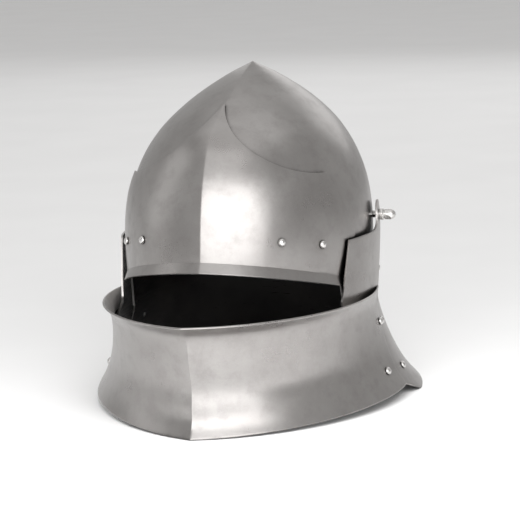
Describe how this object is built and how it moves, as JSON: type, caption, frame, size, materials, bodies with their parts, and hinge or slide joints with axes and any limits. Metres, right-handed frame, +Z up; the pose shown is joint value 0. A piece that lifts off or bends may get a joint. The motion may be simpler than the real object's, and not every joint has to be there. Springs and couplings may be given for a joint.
{
  "type": "sallet helmet",
  "caption": "Steel sallet with a pointed, keeled crown, a riveted brow plate with a cusped top edge, a flared neck guard and a visor that lifts on two side bolts.",
  "frame": {"origin": "middle of the helmet's box on the surface that its rims stand on", "axes": "+Z up through the crown, +Y towards the back of the neck guard, so the face looks along -Y"},
  "size_m": [0.2748, 0.3768, 0.28],
  "materials": {
    "plate_steel": "satin polish with fine scratches, the inside painted black",
    "fastener_steel": "polished"
  },
  "bodies": {
    "helmet": {"skull": "plate_steel", "brow_plate": "plate_steel", "neck_guard": "plate_steel", "pivot_bolt_left": "fastener_steel", "pivot_bolt_right": "fastener_steel", "brow_rivet_left_inner": "fastener_steel", "brow_rivet_left_outer": "fastener_steel", "brow_rivet_right_inner": "fastener_steel", "brow_rivet_right_outer": "fastener_steel", "neck_rivet_left_1": "fastener_steel", "neck_rivet_left_2": "fastener_steel", "neck_rivet_right_1": "fastener_steel", "neck_rivet_right_2": "fastener_steel", "neck_rivet_back": "fastener_steel", "tail_rivet_left_upper": "fastener_steel", "tail_rivet_left_lower": "fastener_steel", "tail_rivet_right_upper": "fastener_steel", "tail_rivet_right_lower": "fastener_steel"},
    "visor": {"visor": "plate_steel", "visor_rivet_left_upper": "fastener_steel", "visor_rivet_left_lower": "fastener_steel", "visor_rivet_right_upper": "fastener_steel", "visor_rivet_right_lower": "fastener_steel"}
  },
  "joints": [
    {"name": "visor_pivot", "type": "hinge", "parent": "helmet", "child": "visor", "pos_m": [0, 0.02293, 0.15], "axis": [-1, 0, 0], "range_deg": [0, 75]}
  ]
}
